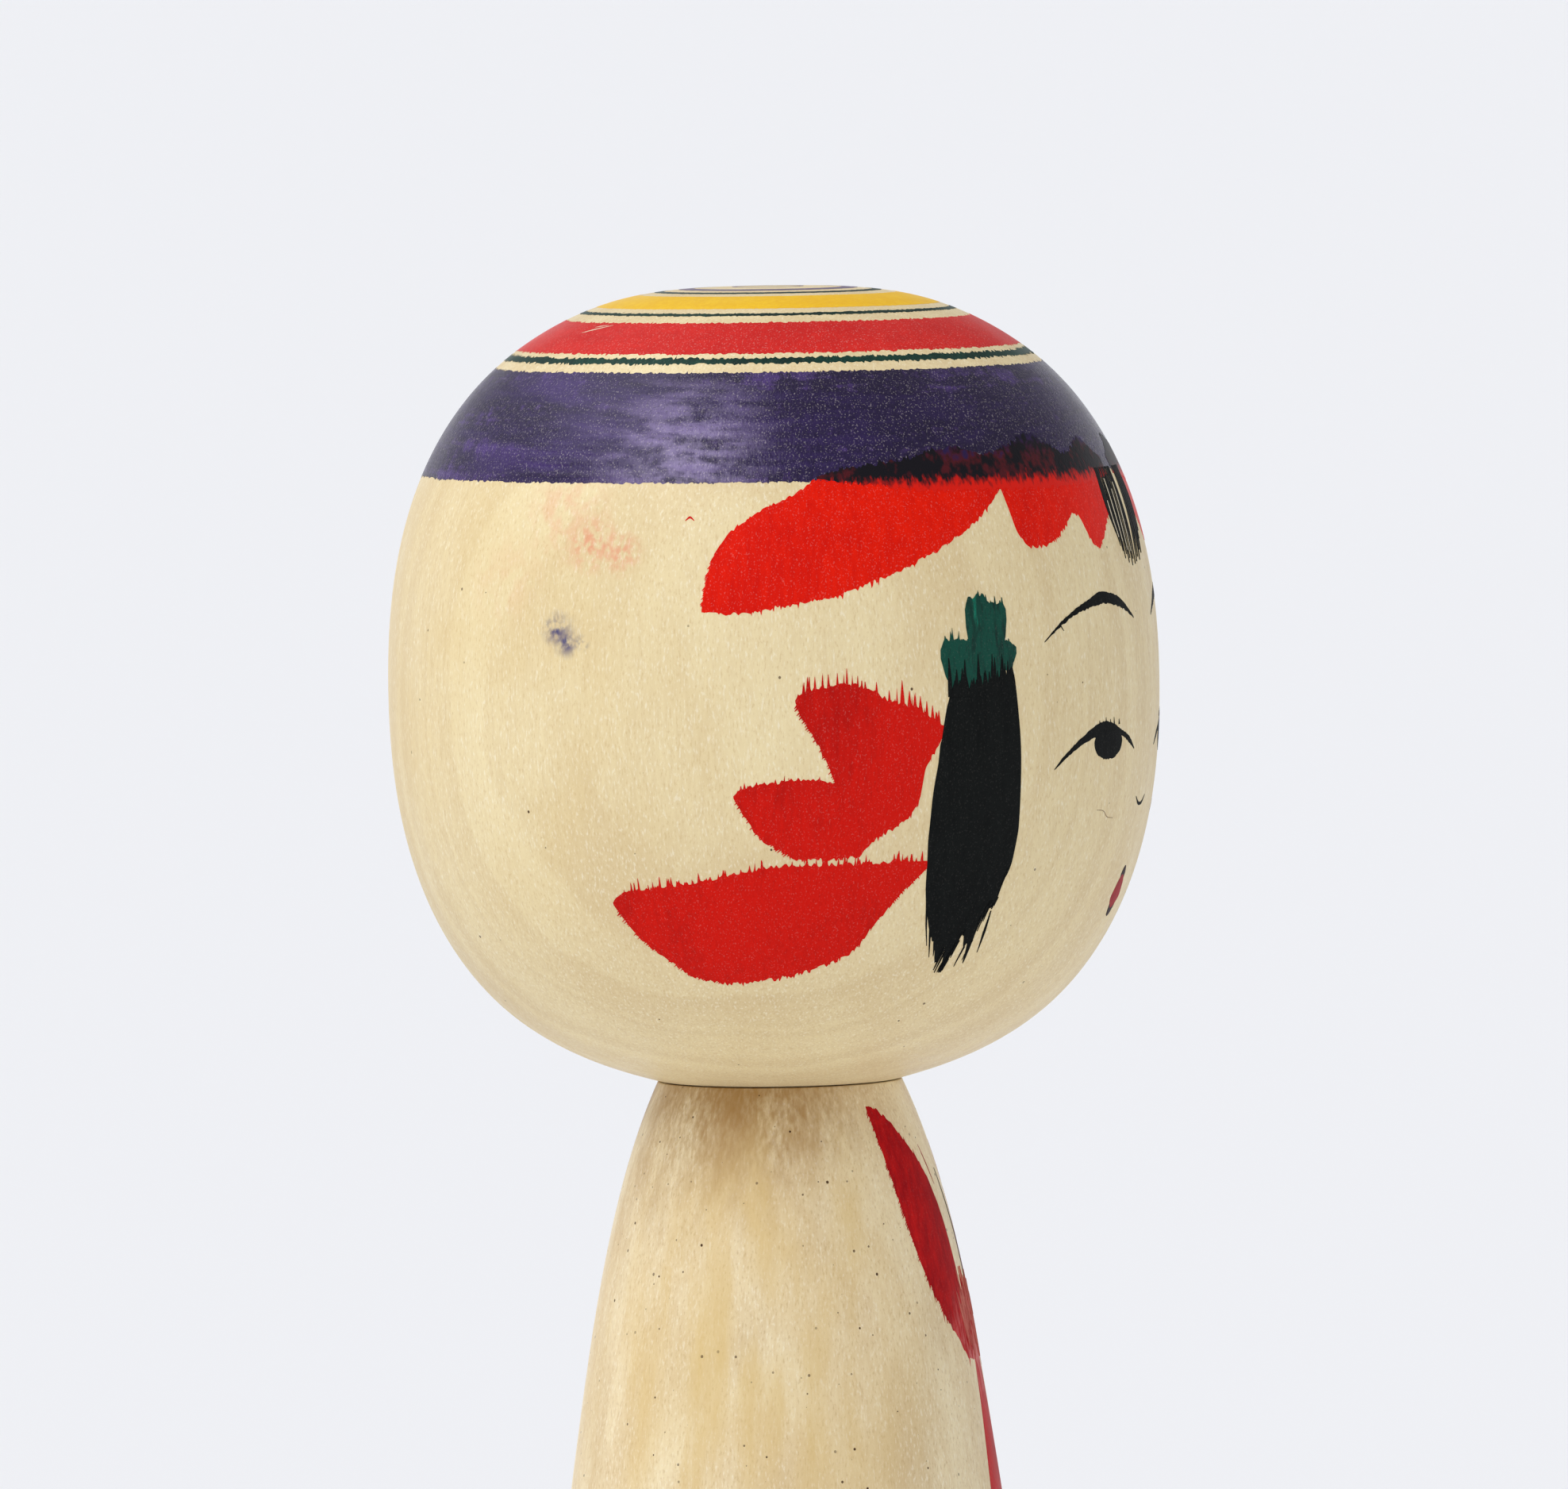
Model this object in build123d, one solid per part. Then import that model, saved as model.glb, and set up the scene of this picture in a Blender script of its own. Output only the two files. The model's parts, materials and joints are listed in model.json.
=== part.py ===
from build123d import *

import os

# Kokeshi doll: two turned pieces of pale wood. The head carries a plug that sits in the
# socket bored down the neck of the body, and turns there about the doll's axis.
#
# Frame: millimetres, origin at the centre of the base, +Z up the lathe axis. The face looks
# along -Y, so the doll's right side is at -X.

# Driving dimensions
total_height = 240.0  # an eight-sun doll
head_height = 74.0  # from the seam to the crown
seam_gap = 0.1  # open hairline between the head and the neck
neck_radius = 11.4  # the body's top edge
seat_radius = 11.3  # the head's lower edge, which faces the neck
base_radius = 34.2  # the widest point of the hem, just above the base

# Plug and socket, a running fit
plug_radius = 6.5
plug_length = 20.0
plug_tip_chamfer = 0.8
socket_clearance = 0.06  # on the radius
socket_depth = 22.0
socket_mouth_chamfer = 0.5
drill_point_depth = 3.8  # the cone that a drill leaves, 118 degrees over the socket's radius

# Base: a shallow dish so that the doll stands on a ring, with the lathe's four claw marks
foot_edge_radius = 1.6
dish_radius = 27.0
dish_depth = 0.8
claw_mark_circle = 8.5
claw_mark_length = 5.0
claw_mark_width = 1.0
claw_mark_depth = 1.6
claw_mark_count = 4

seam_edge_radius = 0.15  # the soft breaks on the two rims that face each other at the seam

head_base_z = total_height - head_height
neck_top_z = head_base_z - seam_gap

# Head outline from the crown down to the seat, as (radius, height above the seam)
head_outline = [
    (0.0, 74.0),
    (7.6, 73.85),
    (14.2, 72.85),
    (20.6, 70.2),
    (26.4, 65.9),
    (31.5, 59.0),
    (35.1, 48.2),
    (36.0, 36.8),
    (34.9, 24.6),
    (31.5, 14.7),
    (25.7, 7.05),
    (18.2, 2.3),
    (seat_radius, 0.0),
]

# Body outline from the neck down to the hem, as (radius, height above the base)
body_outline = [
    (neck_radius, neck_top_z),
    (13.55, 160.5),
    (16.05, 151.6),
    (18.9, 136.0),
    (23.2, 104.0),
    (28.0, 64.0),
    (31.6, 28.0),
    (base_radius, foot_edge_radius),
]


def turned(profile_edges):
    """Return the solid that a closed outline in the XZ plane sweeps about the lathe axis."""
    face = make_face(profile_edges)
    return revolve(face, Axis.Z, 360)


def soften_rim(solid, rim_radius):
    """Round the sharp circular edge of the given radius, where the two pieces meet."""
    circles = solid.edges().filter_by(GeomType.CIRCLE)
    rim = circles.sort_by(lambda edge: abs(edge.radius - rim_radius))[0]
    return fillet(rim, seam_edge_radius)


def make_head():
    outline = [(r, head_base_z + h) for r, h in head_outline]
    tip_z = head_base_z - plug_length
    side = Spline(*outline, tangents=[(1, 0), (-1, -0.26)])
    rest = Polyline(
        outline[-1],
        (plug_radius, head_base_z),
        (plug_radius, tip_z + plug_tip_chamfer),
        (plug_radius - plug_tip_chamfer, tip_z),
        (0, tip_z),
        outline[0],
    )
    return soften_rim(turned(Plane.XZ * (side + rest)), seat_radius)


def make_body():
    side = Spline(*body_outline, tangents=[(0.46, -1), (0.1, -1)])
    foot = RadiusArc(
        side @ 1,
        (base_radius - foot_edge_radius, 0),
        foot_edge_radius,
    )
    rest = Polyline(foot @ 1, (0, 0), (0, neck_top_z), body_outline[0])
    return soften_rim(turned(Plane.XZ * (side + foot + rest)), neck_radius)


def make_socket():
    """The blind hole down the neck, with its mouth chamfer and the drill's cone."""
    radius = plug_radius + socket_clearance
    floor_z = neck_top_z - socket_depth
    outline = Polyline(
        (0, neck_top_z + 1),
        (radius + socket_mouth_chamfer, neck_top_z + 1),
        (radius + socket_mouth_chamfer, neck_top_z),
        (radius, neck_top_z - socket_mouth_chamfer),
        (radius, floor_z),
        (0, floor_z - drill_point_depth),
        close=True,
    )
    return turned(Plane.XZ * outline)


def make_dish():
    """The shallow dish turned into the base."""
    sphere_radius = (dish_radius**2 + dish_depth**2) / (2 * dish_depth)
    return Pos(0, 0, dish_depth - sphere_radius) * Sphere(sphere_radius)


def make_claw_marks():
    """The four slots that the lathe's driving claws leave round the centre of the base."""
    marks = []
    for index in range(claw_mark_count):
        angle = 360.0 / claw_mark_count * index
        slot = Box(claw_mark_width, claw_mark_length, 2 * claw_mark_depth)
        marks.append(Rot(0, 0, angle) * Pos(claw_mark_circle, 0, dish_depth) * slot)
    return marks


head = make_head()
body = make_body() - make_socket() - make_dish()
for mark in make_claw_marks():
    body -= mark

os.makedirs("parts", exist_ok=True)
export_step(head, "parts/head.step")
export_step(body, "parts/body.step")
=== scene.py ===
"""Looks of the kokeshi doll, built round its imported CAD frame.

The two turned pieces are rebuilt as smooth bare wood, and every painted stroke is its own thin
closed film of dye lying on that wood, so that the drawing is real geometry and stays crisp.

Places on the doll are given as a turn and a height. A turn is in degrees about the doll's axis,
0 at the front (-Y) and growing towards the doll's right hand (-X). A height is in millimetres
above the base. Blender's own units are metres.
"""

import json
import math

import bpy
import numpy as np
from mathutils import Matrix, Vector


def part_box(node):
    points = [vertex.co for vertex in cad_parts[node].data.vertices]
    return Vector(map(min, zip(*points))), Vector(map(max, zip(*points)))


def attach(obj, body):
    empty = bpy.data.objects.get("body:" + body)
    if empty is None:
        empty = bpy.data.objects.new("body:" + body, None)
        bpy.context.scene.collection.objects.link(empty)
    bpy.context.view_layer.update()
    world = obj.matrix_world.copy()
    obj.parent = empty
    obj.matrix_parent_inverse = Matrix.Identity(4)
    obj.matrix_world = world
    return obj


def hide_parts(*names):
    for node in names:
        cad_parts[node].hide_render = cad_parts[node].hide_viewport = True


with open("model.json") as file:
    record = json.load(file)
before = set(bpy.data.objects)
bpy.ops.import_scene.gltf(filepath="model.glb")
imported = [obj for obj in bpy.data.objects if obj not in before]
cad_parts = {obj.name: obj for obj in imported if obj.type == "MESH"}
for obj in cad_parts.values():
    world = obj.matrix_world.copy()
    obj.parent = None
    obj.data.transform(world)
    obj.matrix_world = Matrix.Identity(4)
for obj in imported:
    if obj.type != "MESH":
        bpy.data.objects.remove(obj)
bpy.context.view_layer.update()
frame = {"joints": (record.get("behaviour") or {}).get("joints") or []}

MM = 0.001

# Driving sizes, all from the frame, in millimetres
SEAM = frame["joints"][0]["pos_m"][2] / MM
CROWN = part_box("head")[1].z / MM
HEAD_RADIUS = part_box("head")[1].x / MM
PLUG_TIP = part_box("head")[0].z / MM
NECK_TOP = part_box("body")[1].z / MM
BASE_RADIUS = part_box("body")[1].x / MM

# Turned details that the boxes don't give, as they are in the CAD
NECK_RADIUS = 11.4
SEAT_RADIUS = 11.3
RIM_ROUND = 0.15
PLUG_RADIUS = 6.5
PLUG_CHAMFER = 0.8
SOCKET_RADIUS = 6.56
SOCKET_CHAMFER = 0.5
SOCKET_DEPTH = 22.0
DRILL_POINT = 3.8
FOOT_ROUND = 1.6
DISH_RADIUS = 27.0
DISH_DEPTH = 0.8
CLAW_CIRCLE = 8.5
CLAW_LENGTH = 5.0
CLAW_WIDTH = 1.0
CLAW_DEPTH = 1.6

# Mesh fineness, in millimetres unless named otherwise
WOOD_COLUMNS = 320
WOOD_ROW = 1.0
STROKE_COLUMN = 0.06
RING_COLUMN = 0.09
FILM_ROW = 0.8
FIBRE_WIDTH = 0.22
FILM_SINK = 0.012  # how deep a film's back lies in the wood

# How far each layer of dye stands off the wood, so that a later stroke lies on an earlier one
RING_LIFT = 0.014
STROKE_LIFT = 0.016
FACE_LIFT = 0.020
OVERLAP_LIFT = 0.030
LOCK_LIFT = 0.034
DRY_HAIR_LIFT = 0.040
RIBBON_LIFT = 0.042
TOP_HAIR_LIFT = 0.060
FORELOCK_LIFT = 0.036
SLIT_LIFT = 0.094

DYE_SPECULAR = 0.13  # what dyes have unless their finish says otherwise

HEAD_SIDE = [
    (0.0, 74.0),
    (7.6, 73.85),
    (14.2, 72.85),
    (20.6, 70.2),
    (26.4, 65.9),
    (31.5, 59.0),
    (35.1, 48.2),
    (HEAD_RADIUS, 36.8),
    (34.9, 24.6),
    (31.5, 14.7),
    (25.7, 7.05),
    (18.2, 2.3),
    (SEAT_RADIUS, 0.0),
]
BODY_SIDE = [
    (NECK_RADIUS, NECK_TOP),
    (13.55, 160.5),
    (16.05, 151.6),
    (18.9, 136.0),
    (23.2, 104.0),
    (28.0, 64.0),
    (31.6, 28.0),
    (BASE_RADIUS, FOOT_ROUND),
]


# ---------------------------------------------------------------- curves


def spline_through(points, start, end, count):
    """Sample the cubic spline through the points, with the given directions at its two ends."""
    points = np.array(points, float)
    steps = np.hypot(*np.diff(points, axis=0).T)
    knots = np.concatenate([[0.0], np.cumsum(steps)])
    size = len(points)
    matrix = np.eye(size)
    slopes = np.zeros_like(points)
    slopes[0] = np.array(start) / np.hypot(*start)
    slopes[-1] = np.array(end) / np.hypot(*end)
    for i in range(1, size - 1):
        before, after = steps[i - 1], steps[i]
        matrix[i, i - 1] = 1 / before
        matrix[i, i] = 2 / before + 2 / after
        matrix[i, i + 1] = 1 / after
        slopes[i] = 3 * (points[i] - points[i - 1]) / before**2
        slopes[i] += 3 * (points[i + 1] - points[i]) / after**2
    slopes = np.linalg.solve(matrix, slopes)
    return hermite(knots, points, slopes, np.linspace(0, knots[-1], count))


def hermite(knots, values, slopes, at):
    """Evaluate the piecewise cubic with the given values and slopes at its knots."""
    i = np.clip(np.searchsorted(knots, at, side="right") - 1, 0, len(knots) - 2)
    step = knots[i + 1] - knots[i]
    t = (at - knots[i]) / step
    if values.ndim == 2:
        t, step = t[:, None], step[:, None]
    rise = t * t * (3 - 2 * t)
    leave = t * (1 - t) ** 2 * step
    arrive = t * t * (t - 1) * step
    return values[i] * (1 - rise) + values[i + 1] * rise + slopes[i] * leave + slopes[i + 1] * arrive


def brush_edge(points, at):
    """The height of a stroke's edge at each turn: a smooth curve that never overshoots its points."""
    knots, values = np.array(sorted(points), float).T
    run = np.diff(knots)
    rise = np.diff(values) / run
    slopes = np.concatenate([[rise[0]], np.zeros(len(knots) - 2), [rise[-1]]])
    for i in range(1, len(knots) - 1):
        if rise[i - 1] * rise[i] > 0:
            slopes[i] = 2 / (1 / rise[i - 1] + 1 / rise[i])
    return hermite(knots, values, slopes, np.clip(at, knots[0], knots[-1]))


class TurnedSide:
    """The side of a turned piece, with the places and normals that the films lie on."""

    SAMPLES = 3000

    def __init__(self, points, start, end):
        self.radius, self.height = spline_through(points, start, end, self.SAMPLES).T
        steps = np.hypot(np.diff(self.radius), np.diff(self.height))
        self.arc = np.concatenate([[0.0], np.cumsum(steps)])
        along_r = np.gradient(self.radius, self.arc)
        along_z = np.gradient(self.height, self.arc)
        length = np.hypot(along_r, along_z)
        self.normal_r = -along_z / length
        self.normal_z = along_r / length

    def arc_at_height(self, height):
        return np.interp(-np.asarray(height, float), -self.height, self.arc)

    def arc_at_radius(self, radius):
        """Only on the crown, above the widest place."""
        widest = int(self.radius.argmax())
        return np.interp(radius, self.radius[:widest], self.arc[:widest])

    def radius_at_height(self, height):
        return np.interp(-np.asarray(height, float), -self.height, self.radius)

    def place(self, turn, arc, lift):
        """Points in metres, at a turn and an arc down from the top, lifted off the wood."""
        radius = np.interp(arc, self.arc, self.radius) + lift * np.interp(arc, self.arc, self.normal_r)
        height = np.interp(arc, self.arc, self.height) + lift * np.interp(arc, self.arc, self.normal_z)
        angle = np.radians(turn)
        return MM * np.stack([-radius * np.sin(angle), -radius * np.cos(angle), height], -1)


def above_seam(points):
    return [(radius, SEAM + height) for radius, height in points]


HEAD = TurnedSide(above_seam(HEAD_SIDE), start=(1, 0), end=(-1, -0.26))
BODY = TurnedSide(BODY_SIDE, start=(0.46, -1), end=(0.1, -1))


# ---------------------------------------------------------------- node trees


def add_node(tree, kind, inputs=None, **settings):
    """Add a node to a tree. An input is a plain value, or the output of another node to link to it."""
    made = tree.nodes.new(kind)
    for key, value in settings.items():
        setattr(made, key, value)
    for key, value in (inputs or {}).items():
        if isinstance(value, bpy.types.NodeSocket):
            tree.links.new(value, made.inputs[key])
        else:
            made.inputs[key].default_value = value
    return made


class Finish:
    """A material and short calls for the nodes that all the finishes share."""

    def __init__(self, name, roughness, specular):
        self.material = bpy.data.materials.new(name)
        self.material.use_nodes = True
        self.tree = self.material.node_tree
        self.shader = self.tree.nodes["Principled BSDF"]
        self.shader.inputs["Roughness"].default_value = roughness
        self.shader.inputs["Specular IOR Level"].default_value = specular
        self.place = self.node("ShaderNodeTexCoord").outputs["Object"]

    def node(self, kind, inputs=None, **settings):
        return add_node(self.tree, kind, inputs, **settings)

    def stretched(self, across, along, shift=0.0):
        """Object coordinates with a grain that runs up the doll, in cells per metre."""
        inputs = {"Vector": self.place, "Scale": (across, across, along), "Location": (shift,) * 3}
        return self.node("ShaderNodeMapping", inputs).outputs["Vector"]

    def noise(self, across, along, detail=2.0, shift=0.0):
        inputs = {"Vector": self.stretched(across, along, shift), "Scale": 1.0, "Detail": detail}
        return self.node("ShaderNodeTexNoise", inputs).outputs["Fac"]

    def ramp(self, value, low, high, to_low=0.0, to_high=1.0):
        """A smooth step of the value from low to high."""
        inputs = {"Value": value, "From Min": low, "From Max": high, "To Min": to_low, "To Max": to_high}
        made = self.node("ShaderNodeMapRange", inputs, interpolation_type="SMOOTHSTEP")
        return made.outputs["Result"]

    def math(self, operation, first, second):
        made = self.node("ShaderNodeMath", {0: first, 1: second}, operation=operation)
        return made.outputs["Value"]

    def mix(self, factor, first, second, blend="MIX"):
        made = self.node("ShaderNodeMix", data_type="RGBA", blend_type=blend)
        for socket, value in zip((made.inputs[0], made.inputs[6], made.inputs[7]), (factor, first, second)):
            if isinstance(value, bpy.types.NodeSocket):
                self.tree.links.new(value, socket)
            elif isinstance(value, tuple):
                socket.default_value = (*value, 1.0)
            else:
                socket.default_value = value
        return made.outputs[2]

    def weighted(self, *terms):
        """0.5 plus the sum of each field's distance from 0.5 times its weight."""
        total = None
        for field, weight in terms:
            inputs = {0: field, 1: weight, 2: -0.5 * weight if total is not None else 0.5 - 0.5 * weight}
            part = self.node("ShaderNodeMath", inputs, operation="MULTIPLY_ADD").outputs["Value"]
            total = part if total is None else self.math("ADD", total, part)
        return total

    def blotch(self, centre, radius):
        """1 at a point of the object, falling to 0 at the radius, in metres."""
        made = self.node("ShaderNodeVectorMath", {0: self.place, 1: tuple(centre)}, operation="DISTANCE")
        return self.ramp(made.outputs["Value"], 0.0, radius, 1.0, 0.0)

    def marked(self, colour, marks):
        """Lay rubs, stains, worn places and patches of painted light and shade over the colour.

        Each mark is (centre, radius in metres, colour, strength, patches per metre across, along).
        """
        for centre, radius, mark_colour, strength, across, along in marks:
            patch = self.noise(across, along, detail=3.0, shift=radius * 900)
            patchy = self.ramp(patch, 0.36, 0.66, 0.0, strength)
            amount = self.math("MULTIPLY", patchy, self.blotch(centre, radius))
            colour = self.mix(amount, colour, mark_colour)
        return colour

    def height(self):
        return self.node("ShaderNodeSeparateXYZ", {0: self.place}).outputs["Z"]

    def finish(self, colour, height, bump=0.25, roughness=None):
        self.tree.links.new(colour, self.shader.inputs["Base Color"])
        if roughness is not None:
            self.tree.links.new(roughness, self.shader.inputs["Roughness"])
        inputs = {"Height": height, "Strength": bump, "Distance": 0.05 * MM}
        made = self.node("ShaderNodeBump", inputs)
        self.tree.links.new(made.outputs["Normal"], self.shader.inputs["Normal"])
        return self.material


def grain_fields(finish, shift=0.0):
    """The fields of a close-grained pale wood: pores, fine fibre, wider streaks and soft clouds."""
    return {
        "pore": finish.noise(5200, 1700, detail=2.0, shift=shift),
        "fibre": finish.noise(2300, 380, detail=3.0, shift=shift),
        "streak": finish.noise(620, 55, detail=3.0, shift=shift),
        "cloud": finish.noise(42, 24, detail=4.0, shift=shift),
    }


def growth_rings(finish, pith, spacing):
    """Year rings about an upright axis beside the blank, in metres, uneven in width and strength."""
    inputs = {"Vector": finish.place, "Location": (-pith[0], -pith[1], 0.0), "Scale": (1.0, 1.0, 0.0)}
    flat = finish.node("ShaderNodeMapping", inputs).outputs["Vector"]
    distance = finish.node("ShaderNodeVectorMath", {0: flat}, operation="LENGTH").outputs["Value"]
    sway = finish.math("MULTIPLY", finish.noise(34, 14, shift=9.0), 2.2 * spacing)
    inputs = {"W": finish.math("ADD", distance, sway), "Scale": 1.0 / spacing, "Detail": 3.0}
    bands = finish.node("ShaderNodeTexNoise", inputs, noise_dimensions="1D").outputs["Fac"]
    return finish.ramp(bands, 0.36, 0.64)


def wood_finish(name, light, dark, stain, mottling, ring_contrast, speck_chance, marks=()):
    """Bare waxed wood, with the marks that Finish.marked takes."""
    finish = Finish(name, roughness=0.42, specular=0.26)
    fields = grain_fields(finish)
    rings = growth_rings(finish, pith=(0.080, 0.016), spacing=0.0034)
    tone = finish.weighted(
        (fields["fibre"], 0.55),
        (fields["streak"], 0.14),
        (fields["cloud"], 1.0),
        (rings, ring_contrast),
    )
    colour = finish.mix(finish.ramp(tone, 0.15, 0.85), light, dark)
    patches = finish.noise(120, 55, detail=5.0, shift=3.0)
    colour = finish.mix(finish.ramp(patches, 0.42, 0.72, 0.0, mottling), colour, stain)
    # Pale flecks over the pores: painted glints of the wax, standing in for highlights
    painted_highlight_flecks = finish.ramp(fields["pore"], 0.55, 0.72, 0.0, 0.42)
    colour = finish.mix(painted_highlight_flecks, colour, (1.0, 0.94, 0.78))
    pits = finish.ramp(fields["pore"], 0.44, 0.28, 0.0, 0.40)
    colour = finish.mix(pits, colour, stain)
    colour = add_specks(finish, finish.marked(colour, marks), speck_chance)
    height = finish.weighted((fields["pore"], 0.8), (fields["fibre"], 0.7))
    roughness = finish.ramp(fields["streak"], 0.3, 0.7, 0.38, 0.48)
    return finish.finish(colour, height, bump=0.3, roughness=roughness)


def add_specks(finish, colour, chance):
    """Small brown specks, no two alike, in a share of cells that are about a millimetre across."""
    cells = finish.node("ShaderNodeTexVoronoi", {"Vector": finish.stretched(900, 800), "Scale": 1.0})
    draw = finish.node("ShaderNodeSeparateColor", {"Color": cells.outputs["Color"]})
    size = finish.ramp(draw.outputs["Red"], 1.0 - chance, 1.0, 0.0, 0.12)
    inside = finish.math("LESS_THAN", cells.outputs["Distance"], size)
    amount = finish.math("MULTIPLY", inside, finish.ramp(draw.outputs["Green"], 0.0, 1.0, 0.45, 1.0))
    return finish.mix(amount, colour, (0.070, 0.026, 0.005))


def overlap_finish(name, dark, maroon, band, petal):
    """Red dye over the purple band: near-black with maroon specks.

    It fades up into the band's own purple and down into the petal's red.
    """
    finish = Finish(name, roughness=0.4, specular=DYE_SPECULAR)
    fields = grain_fields(finish, shift=0.6)
    speckle = finish.noise(1500, 800, detail=3.0, shift=5.0)
    patch = finish.noise(210, 260, detail=4.0, shift=2.0)
    mottled = finish.weighted((speckle, 1.4), (patch, 1.6))
    colour = finish.mix(finish.ramp(mottled, 0.40, 0.80), dark, maroon)
    unevenness = finish.math("MULTIPLY", finish.weighted((speckle, 1.2), (patch, 1.4)), 0.0042)
    upper = finish.math("ADD", finish.height(), unevenness)
    colour = finish.mix(finish.ramp(upper, (SEAM + 61.3) * MM, (SEAM + 62.9) * MM), colour, band)
    ragged = finish.math("MULTIPLY", finish.noise(2600, 500, detail=2.0, shift=4.0), 0.0024)
    lower = finish.math("ADD", finish.height(), ragged)
    colour = finish.mix(finish.ramp(lower, (SEAM + 58.3) * MM, (SEAM + 57.2) * MM), colour, petal)
    height = finish.weighted((fields["pore"], 0.9), (fields["fibre"], 0.6))
    return finish.finish(colour, height, bump=0.5)


def dye_finish(
    name,
    tone,
    deep,
    fade=None,
    fade_amount=0.0,
    roughness=0.4,
    bump=0.3,
    painted_glint=0.05,
    cloudy=0.8,
    specular=DYE_SPECULAR,
    turned=0.0,
    spread=0.3,
    marks=(),
):
    """Dye soaked into the wood and waxed over, so that the fibre still shows through it.

    It runs from tone to deep, and to fade where it is thin. spread is how wide that run is: the
    less, the harder the change. cloudy and turned weigh its soft clouds and its lathe lines,
    painted_glint is the strength of the wax's glints, pale flecks painted into the colour as a
    painted highlight, and marks are as Finish.marked takes them.
    """
    finish = Finish(name, roughness=roughness, specular=specular)
    fields = grain_fields(finish, shift=1.7)
    lathe = finish.noise(70, 1300, detail=3.0)
    mixed = finish.weighted(
        (fields["fibre"], 0.6), (fields["streak"], 0.4), (fields["cloud"], cloudy), (lathe, turned)
    )
    colour = finish.mix(finish.ramp(mixed, 0.5 - spread, 0.5 + spread), tone, deep)
    if fade is not None:
        thin = finish.weighted(
            (fields["streak"], 0.8), (fields["cloud"], 1.4), (fields["fibre"], 0.6), (lathe, turned)
        )
        colour = finish.mix(finish.ramp(thin, 0.5, 0.5 + 1.3 * spread, 0.0, fade_amount), colour, fade)
    colour = finish.marked(colour, marks)
    # Pale flecks painted into the colour: painted glints of the wax, standing in for highlights
    painted_highlight_flecks = finish.ramp(finish.noise(6400, 5200, detail=1.0, shift=8.0), 0.60, 0.70, 0.0, painted_glint)
    colour = finish.mix(painted_highlight_flecks, colour, (0.95, 0.85, 0.78))
    grain = finish.ramp(fields["pore"], 0.48, 0.30, 0.0, 0.35)
    colour = finish.mix(grain, colour, deep)
    height = finish.weighted((fields["pore"], 0.9), (fields["fibre"], 0.6), (lathe, turned))
    polish = finish.ramp(fields["cloud"], 0.35, 0.65, roughness - 0.08, roughness + 0.12)
    return finish.finish(colour, height, bump=bump, roughness=polish)


# ---------------------------------------------------------------- meshes


def link_piece(name, verts, faces, material, body, crease=50.0):
    """Make one smooth-shaded piece of the doll that rides on a CAD body."""
    mesh = bpy.data.meshes.new(name)
    mesh.from_pydata(verts, [], faces)
    mesh.shade_smooth()
    mesh.set_sharp_from_angle(angle=math.radians(crease))
    mesh.materials.append(material)
    piece = bpy.data.objects.new(name, mesh)
    bpy.context.scene.collection.objects.link(piece)
    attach(piece, body)
    return piece


def sheet_faces(rows, columns, ring, front):
    """Quads of a grid of points, wound to face outward if front, inward if not."""
    index = np.arange(rows * columns).reshape(rows, columns)
    if ring:
        index = np.concatenate([index, index[:, :1]], axis=1)
    corners = [index[:-1, :-1], index[:-1, 1:], index[1:, 1:], index[1:, :-1]]
    if not front:
        corners.reverse()
    return np.stack([corner.ravel() for corner in corners], -1), index


def film_shell(side, turn, arc, lift, ring=False):
    """A closed thin sheet over a grid of turns and arcs: its face, its back in the wood and its rim."""
    rows, columns = arc.shape
    front = side.place(turn, arc, lift).reshape(-1, 3)
    back = side.place(turn, arc, -FILM_SINK).reshape(-1, 3)
    front_faces, index = sheet_faces(rows, columns, ring, front=True)
    back_faces = sheet_faces(rows, columns, ring, front=False)[0] + rows * columns
    loops = [index[0], index[-1, ::-1]]
    if not ring:
        loops += [index[::-1, 0], index[:, -1]]
    rims = []
    for loop in loops:
        under = loop + rows * columns
        rims.append(np.stack([loop[:-1], under[:-1], under[1:], loop[1:]], -1))
    return np.concatenate([front, back]), np.concatenate([front_faces, back_faces, *rims])


def joined(shells):
    """Several shells as one mesh's points and faces."""
    verts, faces, start = [], [], 0
    for shell_verts, shell_faces in shells:
        verts.append(shell_verts)
        faces.append(shell_faces + start)
        start += len(shell_verts)
    return np.concatenate(verts).tolist(), np.concatenate(faces).tolist()


def bleed(rng, turns, radius, spikes_per_cm, longest):
    """How far dye ran along the fibres at each turn, in millimetres.

    The whole edge is jagged by the fibres' own width, and single fibres carry the dye further.
    """
    run = np.radians(turns) * radius
    span = abs(run[-1] - run[0])
    fibres = int(span / FIBRE_WIDTH) + 2
    depth = min(0.7 * longest, 0.42)
    reach = depth * np.interp(run, np.linspace(run[0], run[-1], fibres), rng.random(fibres) ** 1.4)
    for _ in range(int(span / 10 * spikes_per_cm)):
        centre = run[0] + span * rng.random()
        half = rng.uniform(0.07, 0.16)
        tall = longest * rng.uniform(0.15, 1.0) ** 1.5
        reach = np.maximum(reach, tall * np.clip(1 - np.abs(run - centre) / half, 0, None))
    return reach


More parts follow.
